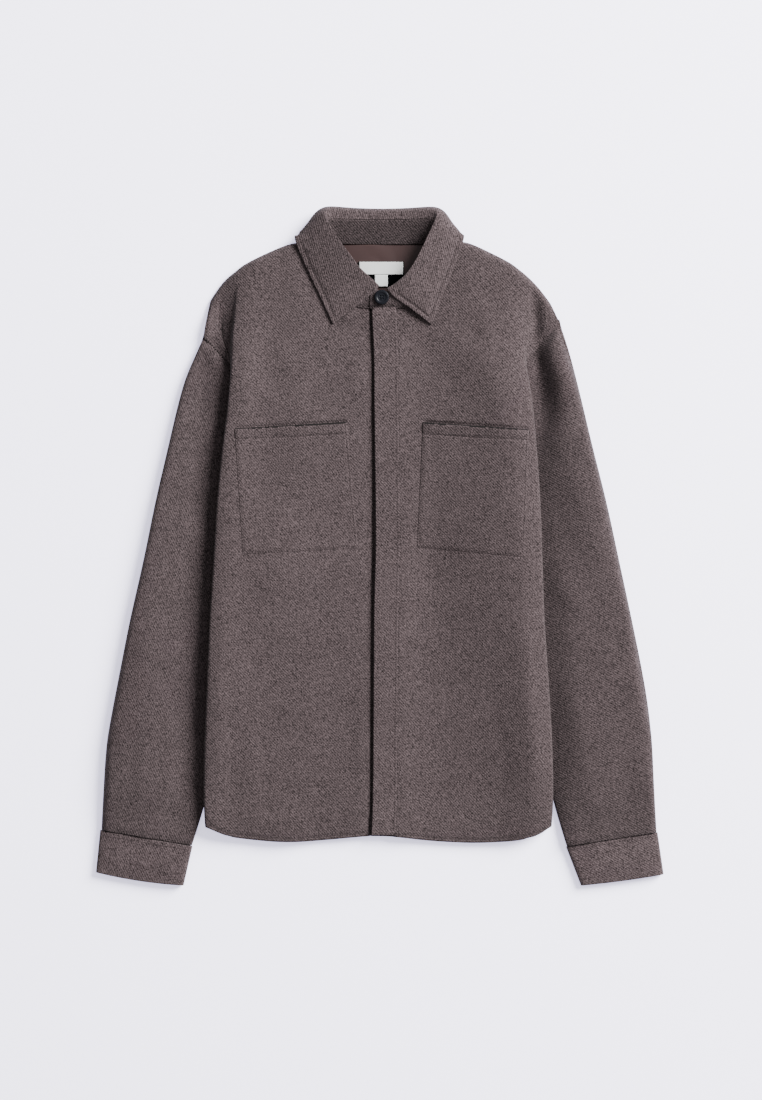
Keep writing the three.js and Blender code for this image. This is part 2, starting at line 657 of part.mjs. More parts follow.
function makeStand() {
  const rows = [STAND_END_LEFT, ...COLLAR_ROWS, STAND_END_RIGHT];
  const steps = 2 * (rows.length - 1);
  const seam = collarLine("seam", rows);
  const foot = collarLine("foot", rows);
  const grid = [];
  for (let i = 0; i <= steps; i += 1) {
    const low = foot.getPoint(i / steps);
    const high = seam.getPoint(i / steps);
    const rise = high.clone().sub(low);
    high.addScaledVector(rise.clone().normalize(), -0.9);
    grid.push([0, 0.33, 0.67, 1].map((k) => low.clone().lerp(high, k)));
  }
  return thicken(grid, COLLAR_CLOTH, false);
}

// Thin flat piece lying level
function makePatch(size, height, thickness) {
  const geometry = new THREE.BoxGeometry(size.right - size.left, size.top - size.bottom, thickness);
  geometry.translate((size.left + size.right) / 2, (size.top + size.bottom) / 2, height);
  geometry.deleteAttribute("uv");
  geometry.deleteAttribute("normal");
  return geometry;
}

// Round button with a rounded edge and four holes
function makeButton() {
  const bevel = 0.5;
  const outline = new THREE.Shape().absarc(0, 0, BUTTON_RADIUS - bevel, 0, 2 * Math.PI, false);
  for (let k = 0; k < 4; k += 1) {
    const turn = ((k + 0.5) * Math.PI) / 2;
    const hole = new THREE.Path();
    hole.absarc(2.4 * Math.cos(turn), 2.4 * Math.sin(turn), 1.4, 0, 2 * Math.PI, true);
    outline.holes.push(hole);
  }
  return new THREE.ExtrudeGeometry(outline, {
    depth: BUTTON_HEIGHT - 2 * bevel,
    bevelSize: bevel,
    bevelThickness: bevel,
    bevelSegments: 1,
    curveSegments: 9,
  });
}

addPiece("back_panel", makeBack(), WOOL);
addPiece("sleeve_right", makeSleeve(LEFT), WOOL);
addPiece("sleeve_left", makeSleeve(RIGHT), WOOL);
addPiece("cuff_right", makeCuff(CUFFS.left), WOOL);
addPiece("cuff_left", makeCuff(CUFFS.right), WOOL);
addPiece("front_right", makeFront(LEFT), WOOL);
addPiece("front_left", makeFront(RIGHT), WOOL);
addPiece("front_band", makeBand(), WOOL);
addPiece("pocket_right", makePocket(LEFT, POCKETS.left), WOOL);
addPiece("pocket_left", makePocket(RIGHT, POCKETS.right), WOOL);
addPiece("collar_stand", makeStand(), WOOL);
addPiece("collar_leaves", makeLeaves(), WOOL);
addPiece("yoke_lining", makePatch(LINING_EDGES, LINING_HEIGHT, LINING), SATIN);
for (const [name, size] of Object.entries(LABELS)) {
  addPiece(name, makePatch(size, size.height, LABEL), { color: size.colour, roughness: 0.7, metalness: 0 });
}
const button = addPiece("neck_button", makeButton(), { color: 0x16171d, roughness: 0.25, metalness: 0 });
button.position.set(2.2, 296.8, collarHeight(STAND_END_RIGHT.foot[2]) + COLLAR_CLOTH / 2 + GAP + 1.2);
button.rotation.y = BUTTON_TILT;

export default group;
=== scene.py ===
"""Looks of the laid wool overshirt: each cut piece as soft cloth on the form of the CAD solids, with
its folds, seams and stitching, and the pale floor, light and camera that it is seen with."""
import json
import math
from contextlib import contextmanager

import bmesh
import bpy
import numpy as np
from bpy.props import FloatProperty, FloatVectorProperty, PointerProperty
from bpy.types import Operator, Panel, PropertyGroup
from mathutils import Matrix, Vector
from mathutils.bvhtree import BVHTree

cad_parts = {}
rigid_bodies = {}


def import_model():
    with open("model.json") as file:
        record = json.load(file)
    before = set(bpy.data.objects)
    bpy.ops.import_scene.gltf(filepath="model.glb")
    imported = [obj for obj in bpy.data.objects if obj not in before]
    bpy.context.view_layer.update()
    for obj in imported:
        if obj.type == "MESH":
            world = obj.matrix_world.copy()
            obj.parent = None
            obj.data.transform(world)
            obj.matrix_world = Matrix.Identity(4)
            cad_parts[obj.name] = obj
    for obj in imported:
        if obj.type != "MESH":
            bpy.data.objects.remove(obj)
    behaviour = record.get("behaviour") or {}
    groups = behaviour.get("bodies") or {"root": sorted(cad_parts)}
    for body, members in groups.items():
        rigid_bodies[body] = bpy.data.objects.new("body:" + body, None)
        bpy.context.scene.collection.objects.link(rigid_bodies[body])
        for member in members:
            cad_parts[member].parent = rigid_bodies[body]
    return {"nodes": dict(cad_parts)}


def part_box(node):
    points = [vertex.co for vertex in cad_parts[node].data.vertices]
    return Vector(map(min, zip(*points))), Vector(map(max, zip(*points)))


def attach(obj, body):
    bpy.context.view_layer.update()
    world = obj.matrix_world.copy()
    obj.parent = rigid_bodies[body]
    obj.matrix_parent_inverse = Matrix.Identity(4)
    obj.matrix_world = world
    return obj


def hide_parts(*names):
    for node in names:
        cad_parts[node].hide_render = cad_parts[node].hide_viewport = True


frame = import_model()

bl_info = {
    "name": "Laid Wool Overshirt",
    "version": (1, 0, 0),
    "blender": (4, 5, 0),
    "location": "3D View > Sidebar > Overshirt",
    "description": "Dresses the packed overshirt in wool, lining, labels and stitching",
    "category": "Object",
}

MM = 0.001
BACKGROUND_SIZE = 8.0  # side of the floor, in metres
FLOOR_DROP = 0.0002  # the floor lies this far under the garment, in metres
PICTURE_CENTRE = (0.0014, -0.0048)  # place on the floor right under the camera, in metres
RIM_CREASE = 0.8  # how sharp the edges stay where a wall turns into its rim
WAVE_SCALE = 0.314  # scale of a wave texture times the distance of its lines
TWILL_SLANT = math.radians(43)

# Sizes below are in millimetres on the garment: x to the viewer's right, y towards the collar.

# Edge of the front band, top to hem
BAND_EDGE = ((284, -10), (229, -7.4), (175, -7), (1, -5.2), (-65, -7), (-305, -8.8), (-347, -10.4))
BAND_WIDTH = 28.5
BAND_GAP = 0.6  # from the edge line to the band's cloth
BAND_STITCH = 2.2  # from the band's inner edge to its row of stitches
HEM_STITCH = 4.0  # from the hem to its row of stitches
HEM_ENDS = {"right": (-204, -16), "left": (27, 200)}  # start and end of the row, by the wearer's side
STITCH_GAP = 0.7
STITCH_STEP = 2.0  # no stitch bridges a higher step than this

# Distance of the body's side folds from the centre line: height, viewer's left, viewer's right
SIDE_FOLDS = (
    (345, 167, 160), (292, 172.6, 161), (250, 176.6, 168), (205, 179, 178), (165, 182.5, 184),
    (126, 187.5, 187.5), (55, 195, 192.5), (-17, 199, 195), (-89, 204, 197.5), (-178, 207.5, 203.5),
    (-305, 211.3, 208), (-341, 209, 206),
)

# Breast pockets: corners of the mouth and of the bottom, from the centre line outward
POCKETS = {
    "pocket_right": ((-39.4, 148.4), (-173.0, 139.8), (-26.2, -2.4), (-163.5, -9.6)),
    "pocket_left": ((51.4, 148.0), (178.0, 138.8), (44.6, -1.2), (172.5, -13.2)),
}
MOUTH_LINE = 0.35  # width of the near-black strip along a pocket's mouth, a painted shadow of the open mouth

# Pieces of the fronts by the wearer's side
FRONTS = {"right": "front_lower", "left": "front_upper"}

# Distance of the sleeves' outer edges from the centre line: height, distance
SLEEVE_EDGE = (
    (-345, 333), (-233, 327), (-89, 301), (55, 270), (165, 244), (205, 233), (250, 217), (300, 195),
)

# Soft folds of the body: start, bend and end of each line, half its width, and its height
BODY_FOLDS = (
    ((-176, 205), (-150, 175), (-108, 168), 15, 0.9),
    ((-186, 150), (-150, 120), (-120, 60), 16, -0.8),
    ((-60, 240), (-80, 200), (-70, 160), 18, -0.7),
    ((-140, 300), (-132, 240), (-140, 190), 15, -0.9),
    ((-30, -30), (-60, -60), (-140, -75), 14, -0.7),
    ((-190, -60), (-150, -90), (-60, -120), 18, 0.8),
    ((-70, -140), (-80, -230), (-66, -330), 17, 0.9),
    ((-180, -150), (-176, -230), (-184, -330), 12, -1.0),
    ((-150, -330), (-158, -260), (-150, -200), 11, 1.0),
    ((-34, -160), (-40, -240), (-34, -330), 10, -0.6),
    ((60, 235), (86, 200), (80, 165), 18, -0.7),
    ((176, 190), (150, 178), (110, 172), 14, 0.8),
    ((130, 300), (140, 250), (150, 200), 12, -1.0),
    ((100, 310), (96, 260), (110, 200), 14, 0.7),
    ((40, -40), (90, -52), (160, -40), 13, -0.7),
    ((186, -40), (150, -80), (90, -110), 18, 0.7),
    ((80, -120), (84, -220), (72, -320), 15, -0.7),
    ((168, -120), (186, -220), (184, -320), 13, 1.0),
    ((50, -200), (56, -260), (48, -330), 10, 0.6),
    ((140, -200), (152, -260), (146, -330), 9, -0.7),
)

# Soft folds of the sleeves' upper plies, in the same way
SLEEVE_FOLDS = (
    ((-205, 262), (-212, 200), (-222, 150), 10, -1.2),
    ((-190, 190), (-222, 120), (-236, 60), 11, 1.3),
    ((-200, 90), (-228, 60), (-262, 52), 12, -1.1),
    ((-206, 20), (-240, 10), (-276, -6), 12, 1.0),
    ((-212, -40), (-232, -80), (-262, -110), 13, -1.2),
    ((-222, -130), (-248, -140), (-290, -120), 12, 0.9),
    ((-230, -190), (-252, -260), (-262, -330), 13, 1.2),
    ((-282, -190), (-296, -250), (-300, -325), 12, -1.1),
    ((-240, -300), (-246, -325), (-250, -345), 9, -0.8),
    ((192, 270), (204, 210), (206, 150), 11, -1.6),
    ((208, 240), (222, 190), (232, 130), 11, 1.4),
    ((204, 110), (220, 30), (232, -40), 12, -1.5),
    ((236, 90), (254, 20), (268, -50), 13, 1.3),
    ((206, -40), (228, -70), (262, -90), 12, 0.9),
    ((218, -120), (246, -150), (290, -150), 13, -1.0),
    ((226, -180), (250, -240), (258, -330), 13, 1.1),
    ((284, -180), (294, -250), (298, -330), 12, -1.1),
    ((238, -290), (244, -320), (250, -345), 9, -0.8),
)

# Valley that runs over the armhole seam on the viewer's right, shared by the front and the sleeve
SHOULDER_FOLDS = (((184, 308), (187, 258), (199, 145), 9.5, -4.4),)

# Armhole seams, from the shoulder to the underarm
ARMHOLES = {"right": ((-211.5, 250), (-100, 120)), "left": ((217, 263.5), (100, 120))}

# Part of the armhole seam on the viewer's left that shows as a line, stitched in thick near-black thread: a
# real seam with a painted shadow along it
SEAM_LINE = ((-210.5, 249.6), (-201, 240.5), (-190.6, 228.6), (-184, 220))

# Free edges of the leaves as seen from above, from the back of the neck to the front
LEAF_EDGES = (
    ((-101, 365), (-85, 327), (-71, 298), (-58.5, 270), (-56, 265.5), (-33, 282.5), (-14, 297.6)),
    ((100, 366), (88, 331), (74.6, 298), (64.4, 271), (61.6, 264.8), (37, 283.5), (17, 297)),
)
LEAF_STITCH = 5.4  # from the free edge to its row of stitches


class ClothSettings(PropertyGroup):
    """Colours and weave of the cloths"""

    wool_dark: FloatVectorProperty(
        name="Wool Dark", description="Dark yarn of the melange", subtype="COLOR",
        size=3, min=0.0, max=1.0, default=(0.0040, 0.0026, 0.0027),
    )
    wool_light: FloatVectorProperty(
        name="Wool Light", description="Pale fibres of the melange", subtype="COLOR",
        size=3, min=0.0, max=1.0, default=(0.0585, 0.0435, 0.0449),
    )
    satin: FloatVectorProperty(
        name="Satin", description="Colour of the yoke lining", subtype="COLOR",
        size=3, min=0.0, max=1.0, default=(0.0215, 0.0122, 0.0118),
    )
    label_white: FloatVectorProperty(
        name="White Label", description="Colour of the neck label and size tab", subtype="COLOR",
        size=3, min=0.0, max=1.0, default=(0.34, 0.34, 0.335),
    )
    label_black: FloatVectorProperty(
        name="Black Label", description="Colour of the backing label", subtype="COLOR",
        size=3, min=0.0, max=1.0, default=(0.0004, 0.0004, 0.0006),
    )
    button: FloatVectorProperty(
        name="Button", description="Colour of the neck button", subtype="COLOR",
        size=3, min=0.0, max=1.0, default=(0.0006, 0.0007, 0.0014),
    )
    twill_spacing: FloatProperty(
        name="Twill Spacing", description="Distance between two lines of the twill",
        default=0.0025, min=0.001, max=0.01, subtype="DISTANCE", unit="LENGTH",
    )


class FormSettings(PropertyGroup):
    """Fullness of the cloth and size of its stitching"""

    body_puff: FloatProperty(
        name="Body Puff", description="Extra height of the body along its side folds",
        default=0.008, min=0.0, max=0.012, subtype="DISTANCE", unit="LENGTH",
    )
    sleeve_puff: FloatProperty(
        name="Sleeve Puff", description="Extra height along the middle of each sleeve",
        default=0.008, min=0.0, max=0.015, subtype="DISTANCE", unit="LENGTH",
    )
    ripple: FloatProperty(
        name="Ripple", description="Height of the low unevenness of laid cloth",
        default=0.0006, min=0.0, max=0.003, subtype="DISTANCE", unit="LENGTH",
    )
    stitch: FloatProperty(
        name="Stitch", description="Length of one stitch",
        default=0.0024, min=0.001, max=0.006, subtype="DISTANCE", unit="LENGTH",
    )
    thread: FloatProperty(
        name="Thread", description="Thickness of the sewing thread",
        default=0.0005, min=0.0001, max=0.002, subtype="DISTANCE", unit="LENGTH",
    )


class StageSettings(PropertyGroup):
    """Floor, light and camera"""

    floor: FloatVectorProperty(
        name="Floor", description="Colour of the surface", subtype="COLOR",
        size=3, min=0.0, max=1.0, default=(0.85, 0.83, 0.95),
    )
    key: FloatProperty(
        name="Key Light", description="Strength of the key light", default=23.0, min=0.0, max=60.0,
    )
    key_height: FloatProperty(
        name="Key Height", description="Angle of the key light over the floor",
        default=math.radians(31), min=0.1, max=1.5, subtype="ANGLE", unit="ROTATION",
    )
    key_turn: FloatProperty(
        name="Key Turn", description="Direction of the key light round the garment",
        default=math.radians(36), min=-3.2, max=3.2, subtype="ANGLE", unit="ROTATION",
    )
    key_softness: FloatProperty(
        name="Key Softness", description="Angle that the key light spans",
        default=math.radians(34), min=0.0, max=1.5, subtype="ANGLE", unit="ROTATION",
    )
    key_distance: FloatProperty(
        name="Key Distance", description="Distance of the key light from the garment",
        default=6.0, min=1.0, max=50.0, subtype="DISTANCE", unit="LENGTH",
    )
    fill: FloatProperty(
        name="Fill Light", description="Strength of the light from all round", default=0.9, min=0.0, max=5.0,
    )
    glow_colour: FloatVectorProperty(
        name="Glow Colour", description="Colour of the light that the surface gives off", subtype="COLOR",
        size=3, min=0.0, max=1.0, default=(0.74, 0.70, 1.0),
    )
    fill_colour: FloatVectorProperty(
        name="Fill Colour", description="Colour of the light from all round", subtype="COLOR",
        size=3, min=0.0, max=1.0, default=(0.97, 0.98, 1.0),
    )
    floor_glow: FloatProperty(
        name="Floor Glow", description="Light that the pale surface gives off itself",
        default=1.05, min=0.0, max=10.0,
    )
    distance: FloatProperty(
        name="Camera Height", description="Height of the camera over the garment",
        default=3.0, min=0.5, max=10.0, subtype="DISTANCE", unit="LENGTH",
    )
    picture_height: FloatProperty(
        name="Picture Height", description="Length of the floor that the picture shows",
        default=1.32, min=0.2, max=5.0, subtype="DISTANCE", unit="LENGTH",
    )


# Fields: heights in millimetres over points given in millimetres


def soft_step(value, start, end):
    """0 at start and 1 at end, with a soft change between."""
    t = np.clip((value - start) / (end - start), 0.0, 1.0)
    return t * t * (3 - 2 * t)


def bell(off, width):
    """1 where off is 0, falling softly to 0 on both sides."""
    return np.exp(-((off / width) ** 2))


def table_at(y, rows, column):
    """A column of a table whose first column is a height, at the heights y."""
    table = np.array(sorted(rows), dtype=float)
    return np.interp(y, table[:, 0], table[:, column])


def folds_at(x, y, folds):
    """Height of all the soft folds of a table."""
    total = np.zeros_like(x)
    for start, bend, end, width, height in folds:
        t = np.linspace(0, 1, 13)[:, None]
        line = (1 - t) ** 2 * np.array(start) + 2 * t * (1 - t) * np.array(bend) + t ** 2 * np.array(end)
        away = np.full_like(x, 1e9)
        along = np.zeros_like(x)
        for k in range(12):
            a, step = line[k], line[k + 1] - line[k]
            s = np.clip(((x - a[0]) * step[0] + (y - a[1]) * step[1]) / (step @ step), 0, 1)
            d = np.hypot(x - a[0] - s * step[0], y - a[1] - s * step[1])
            nearer = d < away
            away = np.where(nearer, d, away)
            along = np.where(nearer, (k + s) / 12, along)
        taper = np.sqrt(np.clip(np.sin(np.pi * (0.06 + 0.88 * along)), 0, 1))
        total += height * taper * bell(away, width)
    return total


def ripple_at(x, y, seed):
    """Low unevenness, about one high, made of waves of many directions."""
    rng = np.random.default_rng(seed)
    total = np.zeros_like(x)
    for _ in range(16):
        angle = rng.uniform(0, np.pi)
        length = rng.uniform(55, 190)
        wave = (x * math.cos(angle) + y * math.sin(angle)) * 2 * np.pi / length
        total += np.sin(wave + rng.uniform(0, 2 * np.pi))
    return total / 4


def band_edge_at(y):
    return table_at(y, BAND_EDGE, 1)


def fold_far(x, y):
    """Distance of the side fold from the centre line, on the side where x is."""
    return np.where(x < 0, table_at(y, SIDE_FOLDS, 1), table_at(y, SIDE_FOLDS, 2))


def body_lift(x, y):
    """Height added to the fronts and what lies on them."""
    form = bpy.context.scene.overshirt_form
    inside = fold_far(x, y) - np.abs(x)
    left = bell(np.maximum(inside - 10, 0), 30) * (1 - 0.55 * soft_step(y, -180, -320))
    left += 0.75 * bell(inside - 85, 50) * soft_step(y, 60, -40)
    right = 0.8 * bell(np.maximum(inside - 32, 0), 38) * soft_step(inside, -8, 30)
    puff = np.where(x < 0, left, right) * soft_step(y, 300, 200) * (1 - 0.4 * soft_step(y, -280, -345))
    lift = puff * form.body_puff / MM + 1.8 * soft_step(y, -285, -340)
    lift += folds_at(x, y, BODY_FOLDS) + ripple_at(x, y, 3) * form.ripple / MM
    lift += folds_at(x, y, SHOULDER_FOLDS) * soft_step(-inside, -14, -2)
    flap = np.where(x < 0, soft_step(-inside, -1.5, 3) * soft_step(-inside, 34, 17), 0)
    lift -= 7.4 * flap * soft_step(y, 324, 242)
    under_collar = soft_step(y, 232, 258) * (1 - soft_step(np.abs(x), 108, 130))
    return lift * (1 - under_collar) + 1.3 * soft_step(y, 258, 278) * (1 - soft_step(np.abs(x), 32, 46))


def front_right_lift(x, y):
    """The lower front sinks under the edge of the upper one and swells beside it."""
    past = x - band_edge_at(y)
    wide = 1.4 + 2.2 * bell(y + 10, 110) + 0.8 * soft_step(y, -100, -250)
    swell = (1.8 - 0.5 * bell(y + 10, 120)) * soft_step(past, -70, -wide - 12)
    swell -= 0.8 * soft_step(past, -wide - 14, -wide)
    swell *= soft_step(y, 270, 235)
    ridge = soft_step(past, -100, -48) * soft_step(past, -wide - 2, -44)
    swell += 2.6 * ridge * bell(y + 105, 85)
    sink = -(2.0 + swell) * soft_step(past, -wide - 1.6, 0.2 - wide)
    foot = 2.3 * soft_step(y, 250, 274) * soft_step(x, -10.5, -14) * soft_step(x, -52, -40)
    return body_lift(x, y) + swell + sink + foot + mouth_groove(x, y, "pocket_right")


def front_left_lift(x, y):
    """The upper front rises level with the band along the band's inner edge."""
    past = x - band_edge_at(y) - BAND_GAP - BAND_WIDTH
    level = 2.0 * soft_step(past, -3.2, -0.6) * (1 - soft_step(past, 8, 44)) * soft_step(y, 258, 225)
    return body_lift(x, y) + level + mouth_groove(x, y, "pocket_left")


def mouth_groove(x, y, pocket):
    """The front dips in a narrow line along the mouth of its pocket."""
    inner, outer = np.array(POCKETS[pocket][0]), np.array(POCKETS[pocket][1])
    along = outer - inner
    length = np.hypot(*along)
    along = along / length
    s = (x - inner[0]) * along[0] + (y - inner[1]) * along[1]
    off = (y - inner[1]) - (x - inner[0]) * along[1] / along[0]
    ends = soft_step(s, -2, 3) * soft_step(s, length + 2, length - 3)
    return -1.6 * ends * bell(off - 0.9, 1.5)


def sleeve_lift(x, y):
    """Height added to the upper ply of the sleeves."""
    form = bpy.context.scene.overshirt_form
    beside = np.abs(x) - fold_far(x, y)
    out = table_at(y, SLEEVE_EDGE, 1) - np.abs(x)
    upper = soft_step(y, 0, 90)
    chest = soft_step(y, 90, 190)
    start = np.where(x < 0, 27, 17 * chest)
    rise = np.where(x < 0, 84, 40 - 2 * chest)
    climb = np.clip((beside - start) / (rise - start), 0, 1)
    climb = np.where(x < 0, climb * climb * (3 - 2 * climb), climb * (2 - climb))
    edge = np.clip(out / 9, 0, 1)
    puff = climb * np.sqrt(edge * (2 - edge)) * soft_step(y, 285, 200)
    puff *= (1 - 0.55 * soft_step(y, -280, -345)) * np.where(x < 0, 1.0, 1.0 + 0.35 * upper)
    puff = puff * form.sleeve_puff / MM
    valley = 2.6 * soft_step(beside, 46, 14) * soft_step(y, 215, 140) * soft_step(y, -345, -290)
    puff -= np.where(x < 0, valley, 0)
    calm = soft_step(beside, 0, 16) * soft_step(out, 0, 14)
    puff += np.where(x > 0, folds_at(x, y, SHOULDER_FOLDS) * soft_step(out, 0, 14), 0)
    return puff + calm * (folds_at(x, y, SLEEVE_FOLDS) + ripple_at(x, y, 5) * form.ripple / MM)


# Meshes


def finished(obj, node, material):
    """Puts a piece in the frame: its finish, the body it rides on, and the hidden CAD node that it stands
    for.
    """
    obj.data.materials.clear()
    obj.data.materials.append(material)
    obj.data.shade_smooth()
    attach(obj, "root")
    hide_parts(node)


def new_object(name, data):
    obj = bpy.data.objects.new(name, data)
    bpy.context.scene.collection.objects.link(obj)
    return obj


def built(name, bm):
    """A new object of a mesh that is ready."""
    mesh = bpy.data.meshes.new(name)
    bm.to_mesh(mesh)
    bm.free()
    return new_object(name, mesh)


def smoothed(node, name, level):
    """A finer, rounder copy of a CAD node."""
    bm = bmesh.new()
    bm.from_mesh(frame["nodes"][node].data)
    bmesh.ops.remove_doubles(bm, verts=bm.verts, dist=1e-5)
    bmesh.ops.join_triangles(
        bm, faces=bm.faces, angle_face_threshold=math.radians(50), angle_shape_threshold=math.radians(70),
    )
    crease = bm.edges.layers.float.new("crease_edge")
    for edge in bm.edges:
        if len(edge.link_faces) == 2 and edge.calc_face_angle() > math.radians(62):
            edge[crease] = RIM_CREASE
    obj = built(name, bm)
    coarse = obj.data
    divide = obj.modifiers.new("Divide", "SUBSURF")
    divide.levels = level
    graph = bpy.context.evaluated_depsgraph_get()
    obj.data = bpy.data.meshes.new_from_object(obj.evaluated_get(graph))
    obj.modifiers.clear()
    bpy.data.meshes.remove(coarse)
    obj.data.name = name
    return obj


def divide_near(mesh, line, reach):
    """Cuts the faces close to a line into finer ones."""
    (ax, ay), (bx, by) = line
    bm = bmesh.new()
    bm.from_mesh(mesh)
    step = Vector((bx - ax, by - ay))
    near = []
    for edge in bm.edges:
        mid = (edge.verts[0].co + edge.verts[1].co) / 2 / MM
        away = mid.xy - Vector((ax, ay))
        t = min(max(away.dot(step) / step.length_squared, 0), 1)
        if (away - step * t).length < reach:
            near.append(edge)
    bmesh.ops.subdivide_edges(bm, edges=near, cuts=2, use_grid_fill=True)
    bmesh.ops.triangulate(bm, faces=[f for f in bm.faces if len(f.verts) > 4])
    bm.to_mesh(mesh)
    bm.free()


@contextmanager
def moving(mesh):
    """The points of a mesh in millimetres, a row each, put back where they are moved to."""
    co = np.empty(len(mesh.vertices) * 3)
    mesh.vertices.foreach_get("co", co)
    points = co.reshape(-1, 3) / MM
    yield points
    mesh.vertices.foreach_set("co", (points * MM).ravel())
    mesh.update()


def raised(points):
    """1 on the upper ply of a sleeve or cuff, 0 on what lies on the floor."""
    return soft_step(points[:, 2], 3.0, 5.6)


def upper_ply(points):
    """1 on what shows of a front, 0 on what is turned under along its side fold."""
    x, y, z = points.T
    near = soft_step(np.abs(x), fold_far(x, y) - 34, fold_far(x, y) - 29) * soft_step(y, 245, 205)
    hem = soft_step(y, -170, -300)
    return 1 - near * (1 - soft_step(z, 9.6 - 1.2 * hem, 12.4 - 2.6 * hem))


def lift_points(obj, lift, share=lambda points: 1.0):
    """Raises the points of a piece by a field, by the share of each."""
    with moving(obj.data) as points:
        points[:, 2] += lift(points[:, 0], points[:, 1]) * share(points)


def draw_up(obj, start, end, by, far):
    """Draws the upper edge of a piece further up, under the piece that is sewn on it."""
    with moving(obj.data) as points:
        near = 1 - soft_step(np.abs(points[:, 0]), far - 14, far)
        points[:, 1] += by * soft_step(points[:, 1], start, end) * near


def past_armhole(points, side):
    """Distance of points over an armhole seam, towards the body."""
    outer, inner = np.array(ARMHOLES[side])
    along = (inner - outer) / np.hypot(*(inner - outer))
    past = (points[:, 0] - outer[0]) * -along[1] + (points[:, 1] - outer[1]) * along[0]
    return past * np.sign(-outer[0])


def tuck_sleeve(obj, side):
    """Draws the upper end of a sleeve under the front along the armhole seam."""
    with moving(obj.data) as points:
        past = past_armhole(points, side)
        share = soft_step(past, -4.5, -0.3)
        upper = soft_step(points[:, 2], 3.0, 6.0)
        points[:, 2] += 1.3 * soft_step(past, -26, -6) * upper
        points[:, 0] += (1.6 if side == "right" else -1.6) * share
        points[:, 1] += 9.0 * share
        points[:, 2] -= np.maximum(points[:, 2] - 2.2, 0) * share * 0.8


def press_armhole(obj, side):
    """Presses the edge of a front down to the sleeve along the armhole seam."""
    with moving(obj.data) as points:
        past = past_armhole(points, side)
        outside = soft_step(np.abs(points[:, 0]) - fold_far(points[:, 0], points[:, 1]), -4, 5)
        by = 2.3 * soft_step(past, 14, 1) * outside * soft_step(points[:, 1], 190, 205)
        points[:, 2] -= by * soft_step(points[:, 2], 2.0, 5.0)


def round_hem(obj):
    """Draws up the lower corners of a front, so that its hem ends in a soft bend."""
    with moving(obj.data) as points:
        x = points[:, 0]
        up = 2.0 * soft_step(x, 100, 160) + 2.2 * soft_step(x, 150, 205) + 3.6 * soft_step(x, 188, 212)
        up += 3.2 * soft_step(x, -170, -215)
        points[:, 1] += up * soft_step(points[:, 1], -296, -340)


def hem_row(trees, start, end):
    """Line of the stitches along the lower edge of a front."""
    line = []
    for x in np.arange(start, end, 6.0):
        y = next((y for y in np.arange(-360, -320, 0.5) if drop(trees, x, y) is not None), None)
        if y is not None:
            line.append((x, y + HEM_STITCH))
    return line


def press_row(obj, line, depth=0.7, width=1.5):
    """Shallow groove in the upper side of a front along a line of stitches."""
    with moving(obj.data) as points:
        low = np.flatnonzero((points[:, 1] < -315) & (points[:, 2] > 7.0))
        points[low, 2] -= depth * bell(distance_from(points[low], line), width)


def close_seam(obj, other, reach, where=lambda point: True):
    """Draws the points of a piece that are near another one up to it, so that their seam is shut."""
    tree = surface(other)[0]
    with moving(obj.data) as points:
        for k, point in enumerate(points):
            place, _, _, distance = tree.find_nearest(Vector(point * MM), reach * MM)
            if place is not None and where(point):
                share = min(1.0, 2 * (1 - distance / MM / reach)) * 0.85
                points[k] += (np.array(place) / MM - point) * share


def grid_wall(name, top, bottom):
    """Closed wall between two grids of points in millimetres."""
    rows, columns = top.shape[:2]
    points = np.concatenate((top.reshape(-1, 3), bottom.reshape(-1, 3)))
    count = rows * columns
    at = np.arange(count).reshape(rows, columns)
    faces = []
    for i in range(rows - 1):
        for j in range(columns - 1):
            a, b, c, d = at[i, j], at[i, j + 1], at[i + 1, j + 1], at[i + 1, j]
            faces.append((a, b, c, d))
            faces.append((a + count, d + count, c + count, b + count))
    rim = list(at[0, :]) + list(at[1:, -1]) + list(at[-1, -2::-1]) + list(at[-2:0:-1, 0])
    for a, b in zip(rim, rim[1:] + rim[:1]):
        faces.append((b, a, a + count, b + count))
    mesh = bpy.data.meshes.new(name)
    mesh.from_pydata((points * MM).tolist(), [], faces)
    bm = bmesh.new()
    bm.from_mesh(mesh)
    if bm.calc_volume(signed=True) < 0:
        bmesh.ops.reverse_faces(bm, faces=bm.faces)
    bm.to_mesh(mesh)
    bm.free()
    return new_object(name, mesh)


def surface(*objs):
    """Trees of the surfaces of pieces, for dropping points on them."""
    trees = []
    for obj in objs:
        bm = bmesh.new()
        bm.from_mesh(obj.data)
        trees.append(BVHTree.FromBMesh(bm))
        bm.free()
    return trees


def drop(trees, x, y):
    """Highest place of the surfaces at a point, None where there is none."""
    best = None
    for tree in trees:
        place = tree.ray_cast(Vector((x * MM, y * MM, 0.1)), Vector((0, 0, -1)))[0]
        if place is not None and (best is None or place.z > best.z):
            best = place
    return best


def resampled(line, spacing):
    """Points at even distances along a line."""
    line = np.array(line, dtype=float)
    run = np.concatenate(([0], np.cumsum(np.hypot(*np.diff(line[:, :2], axis=0).T))))
    where = np.arange(0, run[-1], spacing)
    return np.stack([np.interp(where, run, line[:, k]) for k in range(line.shape[1])], axis=1)


def distance_from(points, line, spacing=1.0):
    """Distance of points from a line, as seen from above."""
    away = np.full(len(points), 1e9)
    for spot in resampled(line, spacing):
        away = np.minimum(away, np.hypot(points[:, 0] - spot[0], points[:, 1] - spot[1]))
    return away


